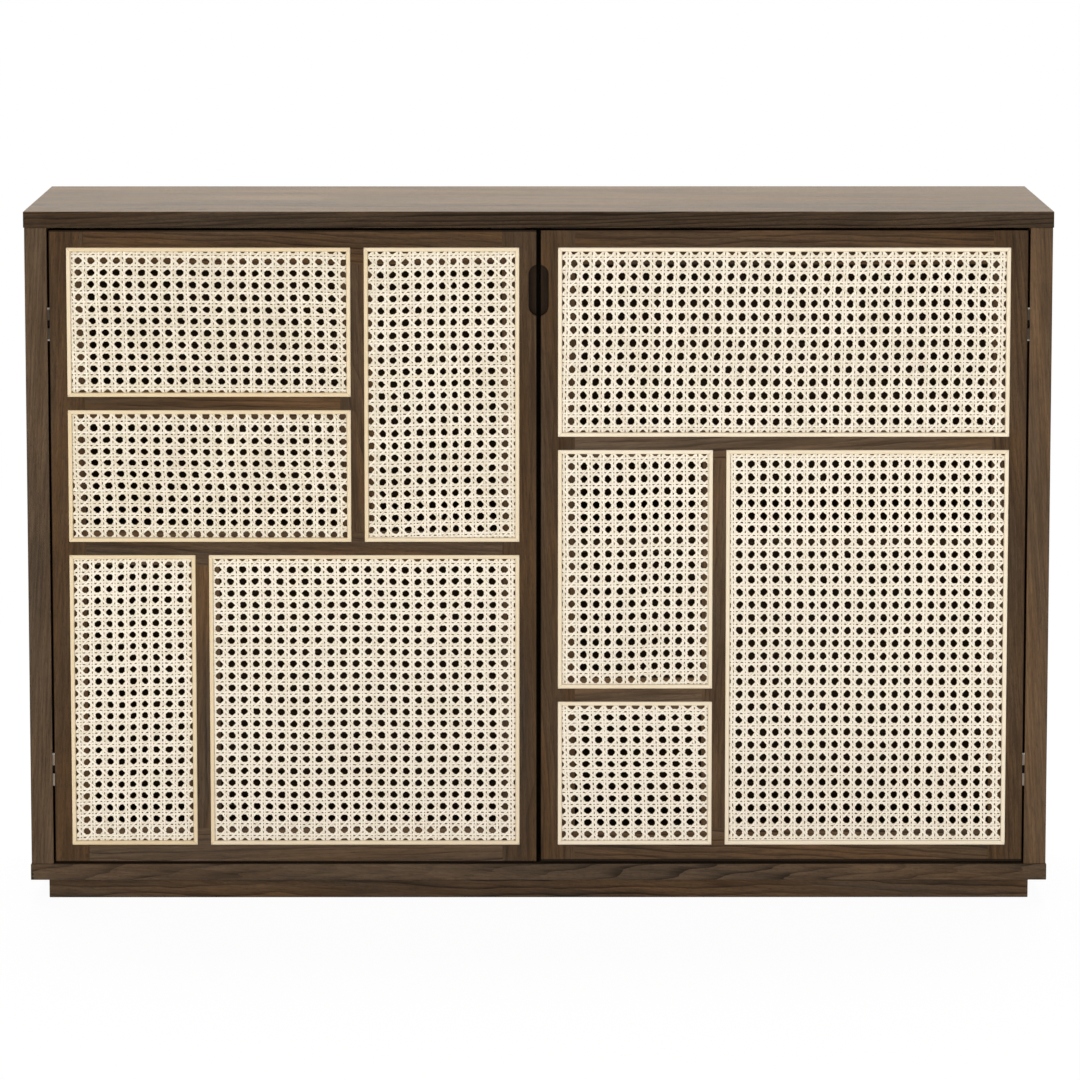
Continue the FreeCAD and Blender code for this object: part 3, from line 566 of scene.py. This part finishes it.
def weave(name, number, material):
    """A panel of cane webbing: pairs of strands up and across, and slanting strands both ways.

    The strands start and end outside the panel and are cut at its edge.
    """
    low, high = [np.array(corner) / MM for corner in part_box(name + "_cane")]
    left, right = low[0] - EDGE_GAP, high[0] + EDGE_GAP
    bottom, top = low[2] - EDGE_GAP, high[2] + EDGE_GAP
    middle = (low[1] + high[1]) / 2
    pitch_x, pitch_z, first_x, first_z, lean, slope, paleness = PANELS[name]
    random = np.random.default_rng(number)
    columns = int((right - left) / pitch_x) + 3
    rows = int((top - bottom) / pitch_z) + 3
    by_column = np.linspace(0, columns - 4, STATIONS)
    by_row = np.linspace(0, rows - 4, STATIONS)
    stray = [random.normal(0, reach, STATIONS) for reach in STRAY]
    phases = random.uniform(0, FULL_TURN, (2, 2))

    def place(s, t):
        """The panel point of a place in the grid, counted in openings across and down."""
        across = sway(t, s, UPRIGHT_RATES, phases[0])
        across = across + np.interp(s, by_column, stray[0]) + np.interp(t, by_row, stray[1])
        down = sway(s, t, LEVEL_RATES, phases[1])
        down = down + np.interp(t, by_row, stray[2]) + np.interp(s, by_column, stray[3])
        x = left + first_x + pitch_x * s + lean * t + across
        z = top - first_z - pitch_z * t - slope * s - down
        return np.column_stack([x, z])

    limits = np.array([left + TUCK, bottom + TUCK]), np.array([right - TUCK, top - TUCK])
    strips = Strips()

    def strand(s, t, heights, size):
        """Adds one strand along places in the grid, at heights from the middle of the cane."""
        wobble = np.column_stack([random.normal(0, WOBBLE, len(s)), random.normal(0, WOBBLE, len(s))])
        line = clipped(place(s, t) + wobble, heights, *limits)
        if line is None:
            return
        width, thickness = size[0] * random.uniform(*WIDTH_RANGE), size[1]
        run = np.gradient(line[:, :2], axis=0)
        run /= np.linalg.norm(run, axis=1, keepdims=True)
        across = np.column_stack([-run[:, 1], run[:, 0]])
        steps = np.linalg.norm(np.diff(line[:, :2], axis=0), axis=1)
        along = np.concatenate([[0], np.cumsum(steps)])
        sections = np.empty((len(line), len(STRAND_SECTION), 3))
        fibre = np.empty_like(sections)
        offset = random.uniform(0, FIBRE_RANGE)
        for corner, (side, depth) in enumerate(STRAND_SECTION):
            sections[:, corner, 0] = line[:, 0] + side * width * across[:, 0]
            sections[:, corner, 1] = middle + line[:, 2] + depth * thickness
            sections[:, corner, 2] = line[:, 1] + side * width * across[:, 1]
            fibre[:, corner, 0] = along
            fibre[:, corner, 1] = side * width
            fibre[:, corner, 2] = offset
        strips.add(sections, fibre, paleness + random.uniform(-TINT_RANGE, TINT_RANGE))

    share_x, share_z = PAIR / pitch_x, PAIR / pitch_z
    t = beats(rows, (0, 0.5 - share_z, 0.5 + share_z))
    s = beats(columns, (0, 0.5 - share_x, 0.5 + share_x))
    for column in range(-2, columns + 1):
        for side in (-1, 1):
            heights = np.tile((0, -side * LAP, side * LAP), len(t) // 3)
            spread = np.tile(PAIR_SPREAD, len(t) // 3)
            strand(column + 0.5 + side * share_x * spread, t, heights, STRAND)
    for row in range(-2, rows + 1):
        for side in (-1, 1):
            heights = np.tile((0, side * LAP, -side * LAP), len(s) // 3)
            spread = np.tile(PAIR_SPREAD, len(s) // 3)
            strand(s, row + 0.5 + side * share_z * spread, heights, STRAND)
    t = beats(rows, SLANT_BEATS)
    wave_reach, wave_rate = SLANT_WAVE
    for way in (-1, 1):
        heights = np.tile((way, way, -way, -way), len(t) // 4) * SLANT_LAP
        starts = range(-rows - 3, columns + 3) if way < 0 else range(-3, columns + rows + 3)
        for start in starts:
            drift = random.normal(0, SLANT_DRIFT)
            drift = drift + wave_reach * np.sin(wave_rate * t + random.uniform(0, FULL_TURN))
            strand(start + 0.5 + drift - way * t, t, heights, SLANT)
    return strips.build(name + "_weave", material)


# Beads: four mitred strips round each panel. Each corner of the section is a distance from the wall of the
# rebate and one from the front, in mm.
BEAD_SECTION = ((0, 2.5), (0, 0.6), (0.3, 0.2), (0.9, 0), (3.7, 0), (4.2, 0.2), (4.45, 0.6), (4.95, 2.5))
MITRE_GAP = 0.12
BEAD_TINT_RANGE = 0.18
BEAD_PALENESS = {"left_door": 0.35, "right_door": 0.75}


def bead(name, number, material, paleness):
    """The bead round a panel. Each corner of the panel comes with the way inward from it."""
    low, high = [np.array(corner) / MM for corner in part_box(name + "_bead")]
    random = np.random.default_rng(number)
    strips = Strips()
    corners = [
        (np.array([low[0], low[2]]), np.array([1, 1])),
        (np.array([high[0], low[2]]), np.array([-1, 1])),
        (np.array([high[0], high[2]]), np.array([-1, -1])),
        (np.array([low[0], high[2]]), np.array([1, -1])),
    ]
    for ends in zip(corners, corners[1:] + corners[:1]):
        span = ends[1][0] - ends[0][0]
        length = np.abs(span).max()
        gap = np.sign(span) * MITRE_GAP
        sections = np.empty((2, len(BEAD_SECTION), 3))
        fibre = np.empty_like(sections)
        offset = random.uniform(0, FIBRE_RANGE)
        for station, (corner, inward) in enumerate(ends):
            shift = gap if station == 0 else -gap
            for index, (distance, depth) in enumerate(BEAD_SECTION):
                x, z = corner + inward * distance + shift
                sections[station, index] = (x, low[1] + depth, z)
                fibre[station, index] = (station * length, distance + depth, offset)
        strips.add(sections, fibre, paleness + random.uniform(-BEAD_TINT_RANGE, BEAD_TINT_RANGE))
    return strips.build(name + "_trim", material)


FIRST_CANE_SEED = 40
FIRST_BEAD_SEED = 80
cane = fibre_material(
    "cane",
    light=(0.80, 0.725, 0.61, 1),
    dark=(0.655, 0.575, 0.45, 1),
    fine=(0.05, 2.5, 1.0),
    gloss=0.4,
    edge=((0.40, 0.25, 0.09, 1), 1.14),
)
pale_wood = fibre_material(
    "pale_bead",
    light=(0.773, 0.672, 0.525, 1),
    dark=(0.615, 0.452, 0.24, 1),
    fine=(0.02, 1.6, 1.0),
    gloss=0.42,
)
for number, name in enumerate(PANELS):
    body = "left_door" if name.startswith("left") else "right_door"
    webbing = weave(name, FIRST_CANE_SEED + number, cane)
    trim = bead(name, FIRST_BEAD_SEED + number, pale_wood, BEAD_PALENESS[body])
    for piece, node, slot in ((webbing, name + "_cane", "cane"), (trim, name + "_bead", "pale_bead")):
        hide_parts(node)
        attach(piece, body)


# Floor, light and camera.


def white_for_eye(tree, lit, share):
    """Mixes a lit shader with a share of plain white, for rays that the eye or a mirror sends."""
    path = add(tree, "LightPath")
    seen = maths(tree, "MAXIMUM", path.outputs["Is Camera Ray"], path.outputs["Is Glossy Ray"])
    seen = maths(tree, "MAXIMUM", seen, path.outputs["Is Transmission Ray"])
    white = add(tree, "Emission", Color=(1, 1, 1, 1), Strength=1.0)
    mix = add(tree, "MixShader")
    tree.links.new(times(tree, seen, share), mix.inputs[0])
    tree.links.new(lit, mix.inputs[1])
    tree.links.new(white.outputs[0], mix.inputs[2])
    return mix.outputs[0]


# The share of white on the floor grows with the distance from the object, so that a trace of shadow stays.
FADE = {"From Min": 0.6, "From Max": 2.4, "To Min": 0.96, "To Max": 1.0}
bpy.ops.mesh.primitive_plane_add(size=400)
floor = bpy.context.object
floor.name = "floor"
floor_material, floor_tree, floor_surface = new_material("floor")
floor_surface.inputs["Base Color"].default_value = (0.86, 0.86, 0.86, 1)
floor_surface.inputs["Roughness"].default_value = 0.9
floor_surface.inputs["Specular IOR Level"].default_value = 0.0
distance = add(floor_tree, "VectorMath", operation="LENGTH")
floor_tree.links.new(add(floor_tree, "TexCoord").outputs["Object"], distance.inputs[0])
fade = add(floor_tree, "MapRange", interpolation_type="SMOOTHSTEP", clamp=True)
for name, value in FADE.items():
    fade.inputs[name].default_value = value
floor_tree.links.new(distance.outputs["Value"], fade.inputs["Value"])
floor_tree.links.new(
    white_for_eye(floor_tree, floor_surface.outputs[0], fade.outputs["Result"]),
    floor_tree.nodes["Material Output"].inputs["Surface"],
)
floor.data.materials.append(floor_material)

world = bpy.data.worlds.new("studio")
scene.world = world
world.use_nodes = True
sky_tree = world.node_tree
sky = sky_tree.nodes["Background"]
sky.inputs["Color"].default_value = (0.98, 0.98, 1.0, 1)
sky.inputs["Strength"].default_value = 0.34
sky_tree.links.new(
    white_for_eye(sky_tree, sky.outputs[0], 1.0),
    sky_tree.nodes["World Output"].inputs["Surface"],
)


def lamp(name, place, target, size, power, colour=(1, 1, 1)):
    """A soft box turned towards a point. Neither the eye nor a mirror sees it."""
    data = bpy.data.lights.new(name, "AREA")
    data.shape = "RECTANGLE"
    data.size, data.size_y = size
    data.energy = power
    data.color = colour
    light = bpy.data.objects.new(name, data)
    scene.collection.objects.link(light)
    light.location = place
    light.rotation_euler = (Vector(target) - Vector(place)).to_track_quat("-Z", "Y").to_euler()
    light.visible_glossy = False
    light.visible_camera = False


FRONT = (0, -0.2, 0.4)
lamp("key", (-2.6, -6.5, 1.6), FRONT, size=(3.6, 2.4), power=236)
lamp("fill", (2.8, -6.0, 0.4), FRONT, size=(3.4, 2.4), power=190)
lamp("overhead", (0, 0.85, 2.2), (0, 0.1, 0.8), size=(2.6, 1.0), power=96, colour=(0.92, 1.0, 0.85))
lamp("back", (0, 4.8, 4.6), (0, 0.2, 0.4), size=(3.4, 2.4), power=200)

LOOK_DOWN = 7.787  # degrees below level
LOOK_ASIDE = -0.066  # degrees to the left of straight back
camera = bpy.data.objects.new("camera", bpy.data.cameras.new("camera"))
scene.collection.objects.link(camera)
scene.camera = camera
camera.data.sensor_width = 36
camera.data.lens = 189.4
camera.location = (-0.006, -6.8, 1.333)
camera.rotation_euler = (math.radians(90 - LOOK_DOWN), 0, math.radians(LOOK_ASIDE))

scene.view_settings.view_transform = "Standard"
